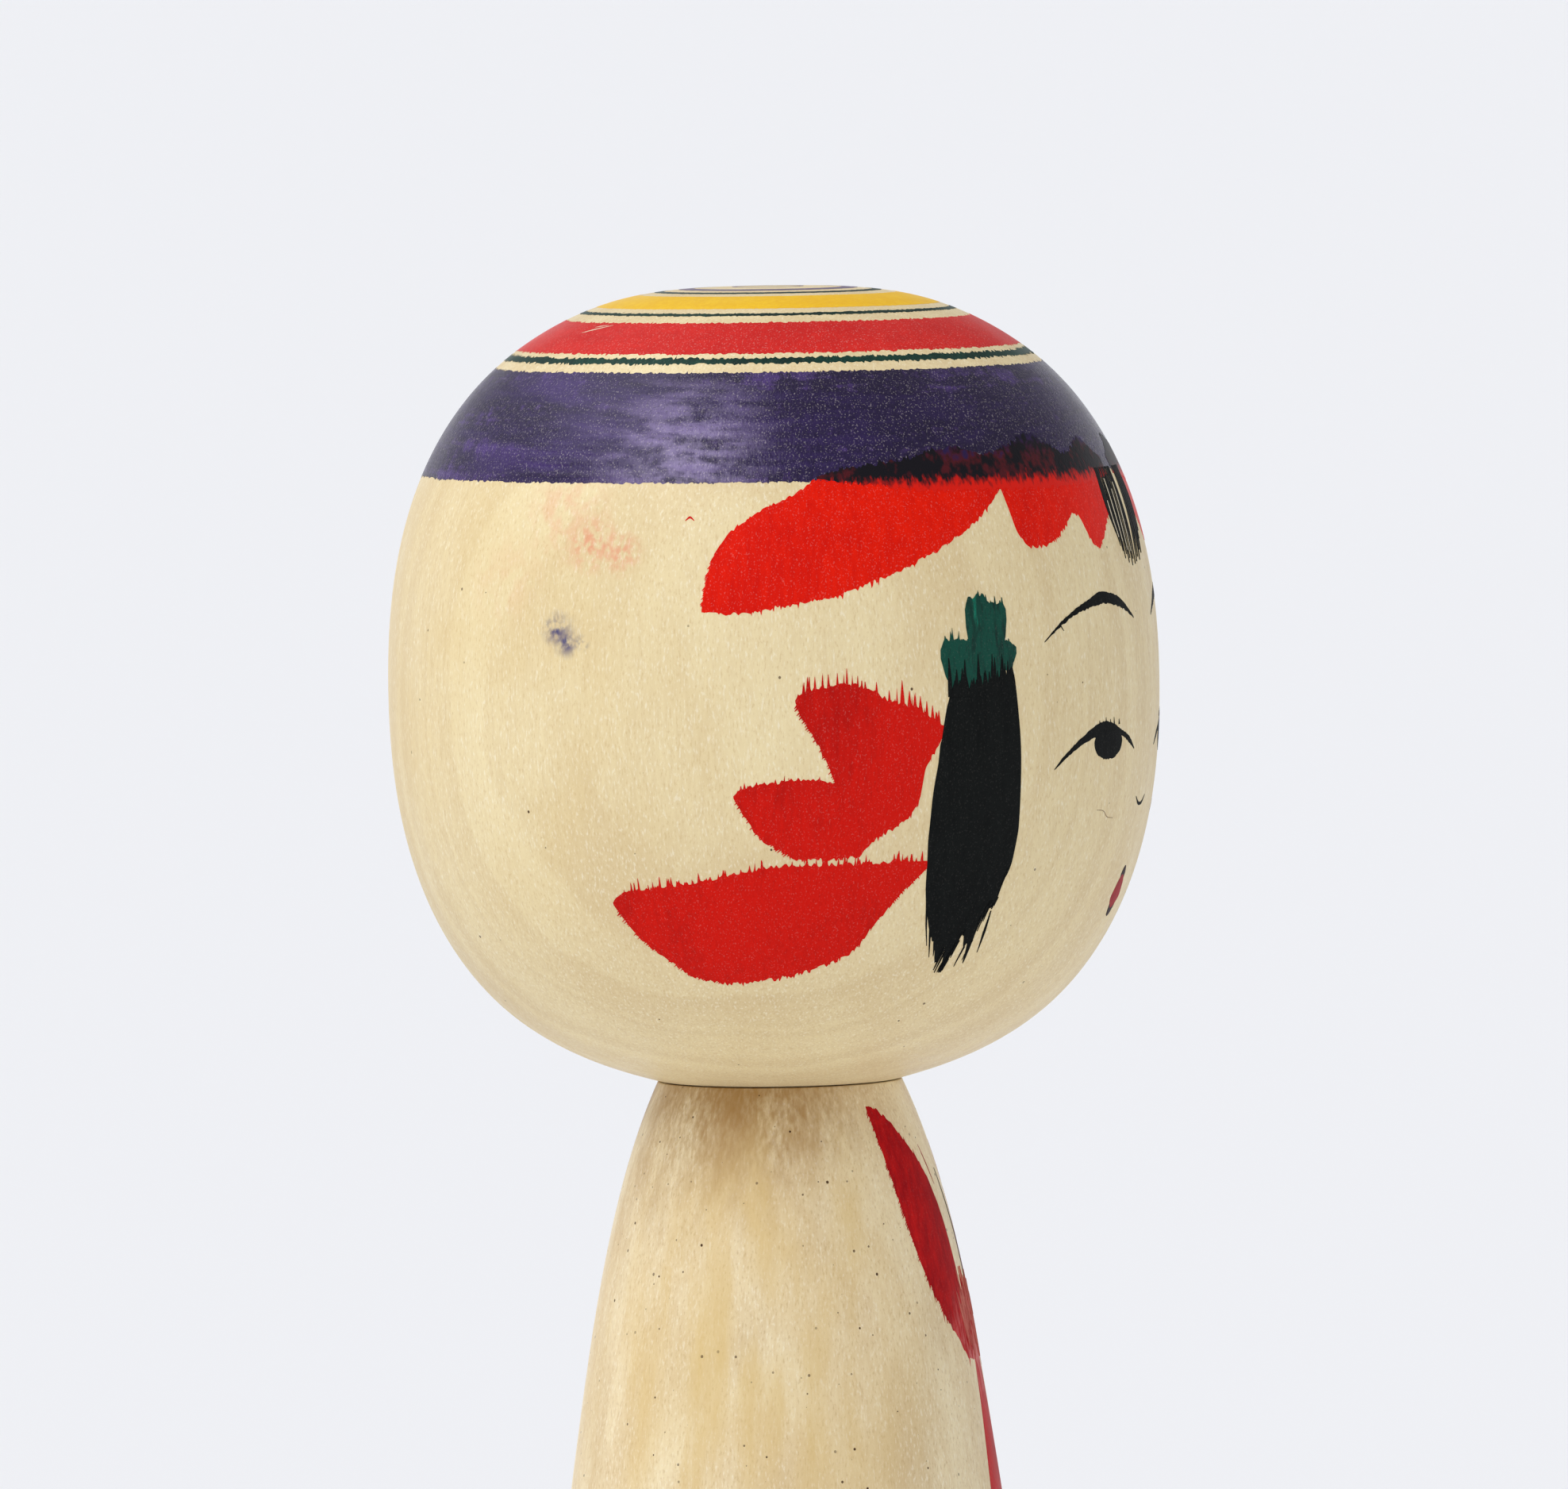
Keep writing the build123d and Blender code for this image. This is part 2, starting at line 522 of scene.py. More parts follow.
def stroke_shell(side, upper, lower, lift, seed, up=(6, 0.5), down=(6, 0.25), mirror=False, centre=0.0):
    """One filled brush stroke between an upper and a lower edge, each a list of (turn, height).

    up and down are how many fibre spikes each edge has to the centimetre, and the longest, in mm.
    """
    rng = np.random.default_rng(seed)
    first = min(point[0] for point in upper)
    last = max(point[0] for point in upper)
    middle = np.mean([point[1] for point in upper + lower])
    radius = side.radius_at_height(middle)
    columns = max(12, int(math.radians(last - first) * radius / STROKE_COLUMN))
    turns = np.linspace(first, last, columns)
    taper = np.clip(np.minimum(turns - first, last - turns) / max(last - first, 1e-6) * 12, 0, 1)
    top = brush_edge(upper, turns) + bleed(rng, turns, radius, *up) * taper
    bottom = brush_edge(lower, turns) - bleed(rng, turns, radius, *down) * taper
    bottom = np.minimum(bottom, top - 0.03)
    if mirror:
        turns, top, bottom = -turns[::-1], top[::-1], bottom[::-1]
    rows = max(3, int((top - bottom).max() / FILM_ROW) + 2)
    blend = np.linspace(0, 1, rows)[:, None]
    arc = side.arc_at_height(top) * (1 - blend) + side.arc_at_height(bottom) * blend
    return film_shell(side, turns + centre, arc, lift)


def both_sides(half):
    """A symmetrical line from its half, which is listed from the middle outwards."""
    return [(-turn, height) for turn, height in half[:0:-1]] + half


def hair_shell(side, points, widths, lift, mirror=False, centre=0.0, samples=24):
    """A single brush hair's mark: a narrow ribbon through (turn, height) points.

    widths are its width in millimetres at evenly spaced places along it.
    """
    points = np.array(points, float)
    along = np.linspace(0, 1, samples)
    knots = np.linspace(0, 1, len(points))
    path = hermite(knots, points, np.gradient(points, knots, axis=0), along)
    arc = side.arc_at_height(path[:, 1])
    radius = side.radius_at_height(path[:, 1])
    flow = np.gradient(np.stack([np.radians(path[:, 0]) * radius, arc], -1), axis=0)
    flow /= np.maximum(np.linalg.norm(flow, axis=1), 1e-9)[:, None]
    half = np.interp(along, np.linspace(0, 1, len(widths)), widths) / 2
    across = np.linspace(-1, 1, 3)[None, :]
    turn = path[:, :1] + np.degrees(across * half[:, None] * flow[:, 1:] / radius[:, None])
    arc = arc[:, None] - across * half[:, None] * flow[:, :1]
    if mirror:
        turn, arc = -turn[:, ::-1], arc[:, ::-1]
    return film_shell(side, turn + centre, arc, lift)


def edge_fibres(side, edge, seed, out, lift, mirror=False, centre=0.0):
    """Single fibres that carried dye out over a steep edge, where upright spikes would not show.

    out is how far each one reaches beyond the edge at most, as (degrees round, millimetres up).
    """
    rng = np.random.default_rng(seed)
    turns = np.linspace(edge[0][0], edge[-1][0], 400)
    heights = brush_edge(edge, turns)
    radius = float(side.radius_at_height(np.mean(heights)))
    steps = np.hypot(np.radians(np.diff(turns)) * radius, np.diff(heights))
    length = np.concatenate([[0.0], np.cumsum(steps)])
    fibres = []
    for number, at in enumerate(np.arange(0.2, length[-1] - 0.2, FIBRE_WIDTH)):
        turn = float(np.interp(at, length, turns))
        height = float(np.interp(at, length, heights))
        share = rng.uniform(0.1, 1.0) ** 1.6
        tip = (turn + out[0] * share, height + out[1] * share)
        foot = (turn - out[0] * 0.5, height - out[1] * 0.5)
        width = rng.uniform(0.16, 0.32)
        height_off = lift + 0.0002 * number
        fibres.append(hair_shell(side, [foot, tip], [width, 0.04], height_off, mirror, centre, samples=3))
    return fibres


def ring_shell(side, top_arc, bottom_arc, lift, seed, up=(5, 0.3), down=(5, 0.3), wobble=0.06):
    """A band of dye held against the turning piece, so it runs right round."""
    rng = np.random.default_rng(seed)
    radius = float(np.interp((top_arc + bottom_arc) / 2, side.arc, side.radius))
    columns = int(2 * math.pi * radius / RING_COLUMN)
    turns = np.linspace(0, 360, columns, endpoint=False)
    sway = sum(
        np.sin(np.radians(turns) * waves + rng.uniform(0, 6.3)) * wobble / waves for waves in (2, 3, 5)
    )
    top = top_arc + sway - bleed(rng, turns, radius, *up)
    bottom = bottom_arc + sway + bleed(rng, turns, radius, *down)
    rows = max(3, int((bottom - top).max() / FILM_ROW) + 2)
    blend = np.linspace(0, 1, rows)[:, None]
    return film_shell(side, turns, top * (1 - blend) + bottom * blend, lift, ring=True)


def paint_on(name, shells, material, body):
    """One painted piece, made of one or more shells."""
    verts, faces = joined(shells)
    return link_piece(name, verts, faces, material, body)


# ---------------------------------------------------------------- the two turned pieces


def straight(start, end, step=WOOD_ROW):
    """Points from start up to but not including end."""
    start, end = np.array(start, float), np.array(end, float)
    count = max(1, int(math.dist(start, end) / step))
    return [tuple(start + (end - start) * i / count) for i in range(count)]


def side_rows(side, trim_top, trim_bottom):
    """The side's own outline as rows, less a little at each end where a rim is rounded."""
    count = int((side.arc[-1] - trim_top - trim_bottom) / WOOD_ROW)
    arcs = np.linspace(trim_top, side.arc[-1] - trim_bottom, count)
    return list(zip(np.interp(arcs, side.arc, side.radius), np.interp(arcs, side.arc, side.height)))


def rounded(before, corner, after, steps=6):
    """A soft break from before to after round the corner."""
    before, corner, after = (np.array(point, float) for point in (before, corner, after))
    ts = [i / steps for i in range(1, steps)]
    return [tuple(before * (1 - t) ** 2 + corner * 2 * t * (1 - t) + after * t * t) for t in ts]


def revolve_piece(name, rows, material, body, reshape=None):
    """Turn the rows of (radius, height) about the axis. The first and last row are on the axis."""
    angles = np.arange(WOOD_COLUMNS) * 2 * math.pi / WOOD_COLUMNS
    inner = np.array(rows[1:-1])
    radius = inner[:, :1] * np.ones(WOOD_COLUMNS)
    height = inner[:, 1:] * np.ones(WOOD_COLUMNS)
    x = -radius * np.sin(angles)
    y = -radius * np.cos(angles)
    if reshape:
        height = reshape(x, y, height)
    grid = np.stack([x, y, height], -1).reshape(-1, 3)
    ends = np.array([[0, 0, rows[0][1]], [0, 0, rows[-1][1]]])
    quads, index = sheet_faces(len(inner), WOOD_COLUMNS, ring=True, front=True)
    first, last = len(grid), len(grid) + 1
    fans = [[first, b, a] for a, b in zip(index[0, :-1].tolist(), index[0, 1:].tolist())]
    fans += [[last, a, b] for a, b in zip(index[-1, :-1].tolist(), index[-1, 1:].tolist())]
    verts = (MM * np.concatenate([grid, ends])).tolist()
    piece = link_piece(name, verts, quads.tolist() + fans, material, body, crease=35.0)
    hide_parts(body)
    return piece


def make_head_wood(material):
    side = side_rows(HEAD, 0.0, RIM_ROUND)
    rows = [(0.0, CROWN)] + [row for row in side if row[0] > 0.1]
    rows += rounded(side[-1], (SEAT_RADIUS, SEAM), (SEAT_RADIUS - RIM_ROUND, SEAM))
    rows += straight((SEAT_RADIUS - RIM_ROUND, SEAM), (PLUG_RADIUS, SEAM))
    rows += straight((PLUG_RADIUS, SEAM), (PLUG_RADIUS, PLUG_TIP + PLUG_CHAMFER))
    rows += straight((PLUG_RADIUS, PLUG_TIP + PLUG_CHAMFER), (PLUG_RADIUS - PLUG_CHAMFER, PLUG_TIP), 0.3)
    rows += straight((PLUG_RADIUS - PLUG_CHAMFER, PLUG_TIP), (0.0, PLUG_TIP))
    return revolve_piece("head_wood", rows + [(0.0, PLUG_TIP)], material, "head")


def claw_marks(x, y, height):
    """Sink the four slots of the lathe's driving claws into the base."""
    depth = np.zeros_like(height)
    for along, across in ((x, y), (y, x)):
        in_width = np.abs(np.abs(along) - CLAW_CIRCLE) - CLAW_WIDTH / 2
        in_length = np.abs(across) - CLAW_LENGTH / 2
        inside = -np.maximum(in_width, in_length)
        depth = np.maximum(depth, CLAW_DEPTH * np.clip(inside / 0.15, 0, 1))
    return np.where(height < DISH_DEPTH + 0.01, height + depth, height)


def make_body_wood(material):
    floor = NECK_TOP - SOCKET_DEPTH
    mouth = SOCKET_RADIUS + SOCKET_CHAMFER
    side = side_rows(BODY, RIM_ROUND, 0.0)
    rows = [(0.0, floor - DRILL_POINT)]
    rows += straight((0.3, floor - DRILL_POINT + 0.17), (SOCKET_RADIUS, floor))
    rows += straight((SOCKET_RADIUS, floor), (SOCKET_RADIUS, NECK_TOP - SOCKET_CHAMFER))
    rows += straight((SOCKET_RADIUS, NECK_TOP - SOCKET_CHAMFER), (mouth, NECK_TOP), 0.2)
    rows += straight((mouth, NECK_TOP), (NECK_RADIUS - RIM_ROUND, NECK_TOP), 0.4)
    rows += [(NECK_RADIUS - RIM_ROUND, NECK_TOP)]
    rows += rounded(rows[-1], (NECK_RADIUS, NECK_TOP), side[0])
    rows += side
    for step in range(1, 9):
        angle = math.pi / 2 * step / 8
        across = BASE_RADIUS - FOOT_ROUND * (1 - math.cos(angle))
        rows.append((across, FOOT_ROUND * (1 - math.sin(angle))))
    rows += straight((BASE_RADIUS - FOOT_ROUND, 0.0), (DISH_RADIUS, 0.0))[1:]
    slot_out = CLAW_CIRCLE + CLAW_WIDTH
    slot_in = CLAW_CIRCLE - CLAW_WIDTH
    radii = np.concatenate([
        np.linspace(DISH_RADIUS, slot_out, 30, endpoint=False),
        np.linspace(slot_out, slot_in, 36, endpoint=False),
        np.linspace(slot_in, 0.0, 16),
    ])
    rows += [(radius, DISH_DEPTH * (1 - (radius / DISH_RADIUS) ** 2)) for radius in radii]
    return revolve_piece("body_wood", rows, material, "body", reshape=claw_marks)


# ---------------------------------------------------------------- finishes

RED_MARK = (0.80, 0.22, 0.14)
BLUE_MARK = (0.022, 0.026, 0.16)
# partly a stain and partly painted shade, for the neck just under the head
NECK_STAIN_AND_SHADE = (0.40, 0.22, 0.065)
AMBER = (0.70, 0.50, 0.20)
WORN_CRIMSON = (0.74, 0.26, 0.24)
# violets of the purple band's painted light and shade
VIOLET = (0.080, 0.040, 0.20)
PAINTED_SHEEN_VIOLET = (0.27, 0.20, 0.42)
PAINTED_HIGHLIGHT_VIOLET = (0.30, 0.24, 0.42)
PAINTED_SHADE_VIOLET = (0.010, 0.006, 0.022)


def on_head(turn, height):
    """A point of the head's surface, in metres."""
    return HEAD.place(turn, HEAD.arc_at_height(height), 0.0)


def on_body(turn, height):
    """A point of the body's surface, in metres."""
    return BODY.place(turn, BODY.arc_at_height(height), 0.0)


head_wood = wood_finish(
    "head_wood",
    light=(0.855, 0.717, 0.424),
    dark=(0.735, 0.578, 0.322),
    stain=(0.62, 0.43, 0.20),
    mottling=0.12,
    ring_contrast=0.22,
    speck_chance=0.10,
    marks=[
        (on_head(102.5, 217.4), 0.0036, RED_MARK, 0.72, 1300, 1100),
        (on_head(97.5, 216.6), 0.0028, RED_MARK, 0.66, 1400, 1200),
        (on_head(108, 220.0), 0.0062, RED_MARK, 0.34, 620, 500),
        (on_head(118, 214.0), 0.0060, RED_MARK, 0.15, 620, 500),
        # painted shade: a broad amber darkening on the flank that faces the key light
        (on_head(124, 203.0), 0.0340, AMBER, 0.34, 90, 60),
        (on_head(107.8, 209.7), 0.0021, BLUE_MARK, 1.0, 1100, 900),
        (on_head(105.8, 208.4), 0.0018, BLUE_MARK, 1.0, 1100, 900),
        (on_head(103.2, 208.4), 0.0010, BLUE_MARK, 1.0, 1500, 1400),
        (on_head(106.8, 209.3), 0.0028, BLUE_MARK, 0.22, 1300, 1000),
    ],
)
body_wood = wood_finish(
    "body_wood",
    light=(0.91, 0.785, 0.515),
    dark=(0.75, 0.585, 0.34),
    stain=(0.50, 0.33, 0.15),
    mottling=0.34,
    ring_contrast=0.20,
    speck_chance=1.0,
    marks=[
        # round the neck under the head's rim: partly a stain, partly painted shade where the head shades it
        (on_body(104, 166.0), 0.0150, NECK_STAIN_AND_SHADE, 0.60, 2600, 260),
        (on_body(100, 167.0), 0.0156, NECK_STAIN_AND_SHADE, 0.85, 150, 60),
        (on_body(84, 166.0), 0.0120, NECK_STAIN_AND_SHADE, 0.75, 2600, 260),
        (on_body(110, 162.0), 0.016, NECK_STAIN_AND_SHADE, 0.45, 700, 80),
        (on_body(66, 164.0), 0.011, NECK_STAIN_AND_SHADE, 0.45, 1100, 160),
        (on_body(70, 155.0), 0.013, AMBER, 0.8, 240, 60),
        (on_body(92, 140.0), 0.026, AMBER, 0.75, 330, 20),
        (on_body(76, 134.0), 0.020, AMBER, 0.5, 200, 20),
        (on_body(-80, 164.0), 0.018, NECK_STAIN_AND_SHADE, 0.5, 300, 60),
        (on_body(170, 162.0), 0.020, NECK_STAIN_AND_SHADE, 0.5, 300, 60),
    ],
)
bright_red = dye_finish(
    "bright_red_dye",
    (0.84, 0.013, 0.002),
    (0.64, 0.006, 0.002),
    painted_glint=0.07,
    cloudy=1.2,
    specular=0.07,
)
red = dye_finish(
    "red_dye",
    (0.66, 0.008, 0.003),
    (0.44, 0.005, 0.003),
    painted_glint=0.05,
    cloudy=1.6,
    specular=0.07,
)
ring_red = dye_finish(
    "ring_red_dye",
    (0.70, 0.020, 0.014),
    (0.56, 0.012, 0.010),
    painted_glint=0.14,
    bump=0.5,
    turned=0.5,
)
crimson = dye_finish(
    "crimson_dye",
    (0.60, 0.012, 0.012),
    (0.30, 0.006, 0.010),
    painted_glint=0.02,
    cloudy=1.4,
    specular=0.02,
    marks=[(on_body(-5.0, 141.0), 0.0075, WORN_CRIMSON, 0.9, 2000, 300)],
)
mouth_red = dye_finish("mouth_dye", (0.40, 0.006, 0.012), (0.20, 0.004, 0.008), painted_glint=0.0, specular=0.02)
dry_pink = dye_finish("dry_crimson_dye", (0.66, 0.26, 0.20), (0.48, 0.06, 0.06), painted_glint=0.0, specular=0.0)
bare = dye_finish("bare_hairs", (0.86, 0.78, 0.60), (0.70, 0.60, 0.42), painted_glint=0.0)
purple = dye_finish(
    "purple_dye",
    (0.028, 0.014, 0.076),
    (0.008, 0.005, 0.018),
    fade=(0.085, 0.042, 0.20),
    fade_amount=0.8,
    roughness=0.3,
    bump=1.2,
    painted_glint=0.17,
    cloudy=1.6,
    specular=0.24,
    turned=1.3,
    spread=0.32,
    marks=[
        # painted light and shade: lighter towards the key, a painted highlight, painted shade near the face
        (on_head(118, 228.0), 0.016, VIOLET, 0.7, 60, 420),
        (on_head(90, 226.0), 0.012, PAINTED_SHEEN_VIOLET, 0.75, 210, 1100),
        (on_head(88, 225.0), 0.009, PAINTED_HIGHLIGHT_VIOLET, 0.55, 900, 1300),
        (on_head(28, 228.0), 0.026, PAINTED_SHADE_VIOLET, 0.9, 40, 90),
    ],
)
faded_purple = dye_finish("faded_purple_dye", (0.22, 0.17, 0.25), (0.13, 0.10, 0.17))
lip = dye_finish("lip_dye", (0.030, 0.006, 0.008), (0.012, 0.005, 0.006), painted_glint=0.0, specular=0.02)
overlap = overlap_finish(
    "overlap_dye",
    dark=(0.007, 0.006, 0.009),
    maroon=(0.075, 0.008, 0.012),
    band=(0.022, 0.011, 0.060),
    petal=(0.72, 0.011, 0.004),
)
yellow = dye_finish("yellow_dye", (0.94, 0.60, 0.016), (0.86, 0.48, 0.010), painted_glint=0.04, turned=0.4)
green = dye_finish("green_dye", (0.004, 0.050, 0.032), (0.003, 0.020, 0.015), painted_glint=0.03, cloudy=1.4)
brushed_green = dye_finish(
    "brushed_green_dye",
    (0.003, 0.064, 0.042),
    (0.004, 0.012, 0.011),
    fade=(0.003, 0.17, 0.105),
    fade_amount=0.9,
    painted_glint=0.02,
    cloudy=0.9,
    spread=0.13,
)
black = dye_finish(
    "black_dye",
    (0.0085, 0.0098, 0.0094),
    (0.004, 0.0046, 0.0046),
    painted_glint=0.015,
    roughness=0.5,
    specular=0.04,
)
brown = dye_finish("brown_line_dye", (0.30, 0.18, 0.10), (0.20, 0.12, 0.06))

make_head_wood(head_wood)
make_body_wood(body_wood)


# ---------------------------------------------------------------- the crown's rings

CROWN_RINGS = [
    # name, inner radius, outer radius, finish, longest spike
    ("crown_centre_ring", 3.05, 3.35, faded_purple, 0.12),
    ("crown_inner_ring", 7.0, 8.3, faded_purple, 0.15),
    ("crown_thin_green_ring", 9.8, 10.5, green, 0.2),
    ("crown_yellow_ring", 12.0, 15.9, yellow, 0.15),
    ("crown_green_line", 17.08, 17.42, green, 0.3),
    ("crown_red_ring", 19.0, 23.3, ring_red, 0.45),
    ("crown_outer_green_line", 24.10, 24.46, green, 0.55),
]
BAND_INNER_RADIUS = 25.6
BAND_LOW = 223.0


def make_crown():
    for number, (name, inner, outer, finish, spike) in enumerate(CROWN_RINGS):
        arcs = HEAD.arc_at_radius(inner), HEAD.arc_at_radius(outer)
        spikes = (16, spike)
        shell = ring_shell(HEAD, *arcs, RING_LIFT, 100 + number, up=spikes, down=spikes, wobble=0.04)
        paint_on(name, [shell], finish, "head")
    arcs = HEAD.arc_at_radius(BAND_INNER_RADIUS), HEAD.arc_at_height(BAND_LOW)
    shell = ring_shell(HEAD, *arcs, RING_LIFT, 120, up=(16, 0.4), down=(16, 0.35))
    paint_on("purple_band", [shell], purple, "head")


make_crown()


# ---------------------------------------------------------------- red hair petals on the head's sides

# Each petal: name, upper edge, lower edge, fibre spikes up, fibre spikes down
HEAD_PETALS = [
    (
        "crown_petal",
        [(34.3, 222.9), (62, 223.1), (66, 223.0), (70, 221.7), (75.5, 220.2), (80.8, 218.0), (82.9, 216.0),
         (83.8, 214.2), (84.3, 212.2), (84.5, 211.4)],
        [(34.3, 221.8), (37, 220.6), (41, 218.9), (45, 217.6), (50, 216.0), (57, 214.3), (65, 212.6),
         (72, 211.9), (80, 211.25), (84.5, 211.2)],
        (16, 0.4),
        (20, 0.8),
    ),
    (
        "brow_petal_outer",
        [(19.2, 222.9), (34.3, 222.9)],
        [(19.2, 219.2), (20, 218.9), (23, 217.7), (27.5, 216.5), (31, 216.5), (32.8, 217.9), (33.9, 220.5),
         (34.3, 221.8)],
        (3, 0.1),
        (18, 0.6),
    ),
    (
        "brow_petal_inner",
        [(6.9, 222.9), (19.2, 222.9)],
        [(6.9, 219.1), (9, 218.3), (12, 216.6), (13.8, 216.0), (15.2, 216.5), (17, 218.4), (17.8, 219.1),
         (19.2, 219.2)],
        (3, 0.1),
        (18, 0.55),
    ),
    (
        "upper_ear_petal",
        [(48.3, 200.3), (50.5, 201.0), (53, 202.0), (57, 202.7), (59.8, 203.7), (63, 204.2), (68.5, 203.9),
         (70.4, 203.5), (70.9, 203.1)],
        [(48.3, 200.1), (49, 199.0), (51.3, 196.8), (52.4, 193.5), (54.5, 191.9), (58.8, 190.4),
         (61.8, 188.8), (63.5, 192.2), (65.7, 196.4), (68.2, 199.8), (70.2, 201.8), (70.9, 202.9)],
        (34, 1.9),
        (20, 0.7),
    ),
    (
        "middle_ear_petal",
        [(59.5, 192.5), (62.5, 194.2), (64.8, 195.3), (70, 195.6), (75, 195.3), (79, 194.9), (80.2, 194.4)],
        [(59.5, 189.8), (61.8, 188.75), (65, 188.6), (70, 188.6), (73, 189.3), (76.5, 190.8), (79.2, 193.2),
         (80.2, 194.2)],
        (26, 0.9),
        (20, 0.6),
    ),
    (
        "lower_ear_petal",
        [(50.2, 188.0), (60, 187.75), (73, 187.7), (80, 187.0), (90, 186.0), (98, 185.4), (100, 185.0),
         (100.9, 184.5)],
        [(50.2, 187.3), (51.5, 186.6), (54, 185.2), (58, 182.5), (61, 180.0), (66, 178.6), (74, 177.5),
         (82, 177.0), (88, 177.4), (91.5, 178.6), (97, 181.1), (99.5, 183.0), (100.9, 184.3)],
        (34, 1.4),
        (22, 0.6),
    ),
]
BAND_OVERLAP_UPPER = [
    (2, 224.0), (4, 224.5), (8, 225.7), (12, 224.9), (15, 224.4), (20, 225.4), (24, 226.4), (28, 225.7),
    (32, 225.0), (35, 224.6), (41, 225.4), (45, 225.3), (52, 224.4), (62, 223.8), (66.5, 223.3),
]
BAND_OVERLAP_LOWER = [(2, 222.4), (12, 222.0), (30, 221.8), (48, 222.0), (58, 222.7), (66.5, 223.1)]
SIDES = [("right", False), ("left", True)]


def make_head_petals():
    for side_name, mirror in SIDES:
        for number, (name, upper, lower, up, down) in enumerate(HEAD_PETALS):
            seed = 200 + 20 * mirror + number
            shell = stroke_shell(HEAD, upper, lower, STROKE_LIFT + 0.002 * number, seed, up, down, mirror)
            finish = red if "ear" in name else bright_red
            paint_on(f"{name}_{side_name}", [shell], finish, "head")
        edges = BAND_OVERLAP_UPPER, BAND_OVERLAP_LOWER
        shell = stroke_shell(HEAD, *edges, OVERLAP_LIFT, 240 + mirror, (30, 0.7), (24, 0.7), mirror)
        paint_on(f"band_overlap_{side_name}", [shell], overlap, "head")


make_head_petals()


# ---------------------------------------------------------------- stray marks on the head

FIBRE_RUNS = [
    # turn, height it starts from, how far it runs up, width in mm: dye that ran up single fibres
    (69.6, 203.2, 1.5, 0.16), (68.0, 203.6, 1.6, 0.20), (66.9, 203.8, 1.5, 0.16), (64.7, 204.0, 1.5, 0.18),
    (63.3, 203.9, 2.0, 0.18), (61.7, 203.7, 1.5, 0.16), (58.9, 203.0, 1.6, 0.22), (57.0, 202.2, 1.6, 0.22),
    (55.0, 201.8, 2.9, 0.34), (53.9, 201.4, 2.3, 0.34), (52.2, 201.1, 2.1, 0.32), (51.2, 200.7, 2.0, 0.26),
    (50.3, 200.3, 2.0, 0.30), (49.3, 199.9, 1.9, 0.30), (96.0, 184.9, 1.9, 0.22), (90.5, 185.4, 1.2, 0.18),
    (98.6, 184.8, 0.9, 0.18), (97.3, 184.9, 1.1, 0.16), (94.4, 185.1, 1.1, 0.20), (87.2, 185.8, 0.9, 0.18),
    (72.0, 195.1, 0.9, 0.14), (63.2, 187.6, 0.9, 0.16), (53.0, 187.6, 1.1, 0.20), (51.2, 187.7, 1.2, 0.22),
]
STEEP_EDGES = [
    # an edge of an ear petal, and how far single fibres reach beyond it, as (degrees, mm up)
    ([(84, 177.0), (88, 177.4), (91.5, 178.6), (97, 181.1), (99.5, 183.0), (100.9, 184.3)], (0.6, -0.25)),
    ([(72, 188.7), (76.5, 190.8), (79.2, 193.2), (80.2, 194.2)], (0.5, -0.25)),
    ([(62.2, 189.6), (63.5, 192.2), (65.7, 196.4), (68.2, 199.8), (70.2, 201.8), (70.9, 202.9)],
     (0.5, -0.3)),
    ([(50.2, 187.3), (51.5, 186.6), (54, 185.2), (58, 182.5), (61, 180.0)], (-0.3, -0.25)),
]
CROWN_PETAL_END = [(80.8, 218.0), (82.9, 216.0), (83.8, 214.2), (84.3, 212.2), (84.5, 211.4)]
RED_DASH = [(87.4, 219.5), (86.7, 219.8), (86.0, 219.5)]
RING_SCRATCHES = [
    # the scratch's line, and its width at evenly spaced places along it
    ([(131.0, 236.2), (127.5, 236.5), (122.0, 236.9)], [0.05, 0.22, 0.05]),
    ([(128.5, 236.7), (126.5, 236.8), (124.0, 236.9)], [0.04, 0.15, 0.04]),
]


def make_stray_marks():
    for side_name, mirror in SIDES:
        runs = []
        for number, (turn, height, reach, width) in enumerate(FIBRE_RUNS):
            points = [(turn, height), (turn, height + reach / 2), (turn, height + reach)]
            widths = [width * 1.6, width, 0.03]
            lift = OVERLAP_LIFT + 0.001 + 0.0003 * number
            runs.append(hair_shell(HEAD, points, widths, lift, mirror, samples=8))
        for number, (edge, out) in enumerate(STEEP_EDGES):
            runs += edge_fibres(HEAD, edge, 260 + 10 * mirror + number, out, OVERLAP_LIFT, mirror)
        paint_on(f"ear_petal_fibre_runs_{side_name}", runs, red, "head")
        tip = edge_fibres(HEAD, CROWN_PETAL_END, 290 + mirror, (0.5, -0.3), OVERLAP_LIFT, mirror)
        paint_on(f"crown_petal_fibre_runs_{side_name}", tip, bright_red, "head")
    dash = hair_shell(HEAD, RED_DASH, [0.06, 0.22, 0.06], STROKE_LIFT)
    paint_on("red_dash", [dash], red, "head")
    scratches = [
        hair_shell(HEAD, points, widths, STROKE_LIFT + 0.002 + 0.002 * number)
        for number, (points, widths) in enumerate(RING_SCRATCHES)
    ]
    paint_on("crown_scratches", scratches, bare, "head")


make_stray_marks()


# ---------------------------------------------------------------- side locks and their ribbons

LOCK_UPPER = [
    (34.4, 190.7), (34.6, 193.0), (35.0, 198.0), (35.7, 202.0), (36.3, 204.6), (36.9, 205.9), (38.1, 203.6),
    (39, 205.0), (40.1, 203.4), (41, 205.0), (45, 205.0), (46.8, 204.5), (47.5, 203.0), (48.3, 201.0),
    (49.3, 197.0), (50.1, 193.6), (50.4, 190.2),
]
LOCK_LOWER = [
    (34.4, 190.3), (34.8, 187.5), (35.8, 185.8), (36.6, 183.8), (38.2, 183.0), (38.9, 181.4), (39.6, 178.3),
    (40.1, 180.2), (40.6, 179.8), (41.4, 181.0), (42.5, 179.6), (43.8, 177.9), (44.4, 179.9), (44.8, 179.4),
    (45.4, 178.6), (46.4, 180.0), (47.6, 181.1), (49, 183.2), (50.0, 185.4), (50.4, 189.6),
]
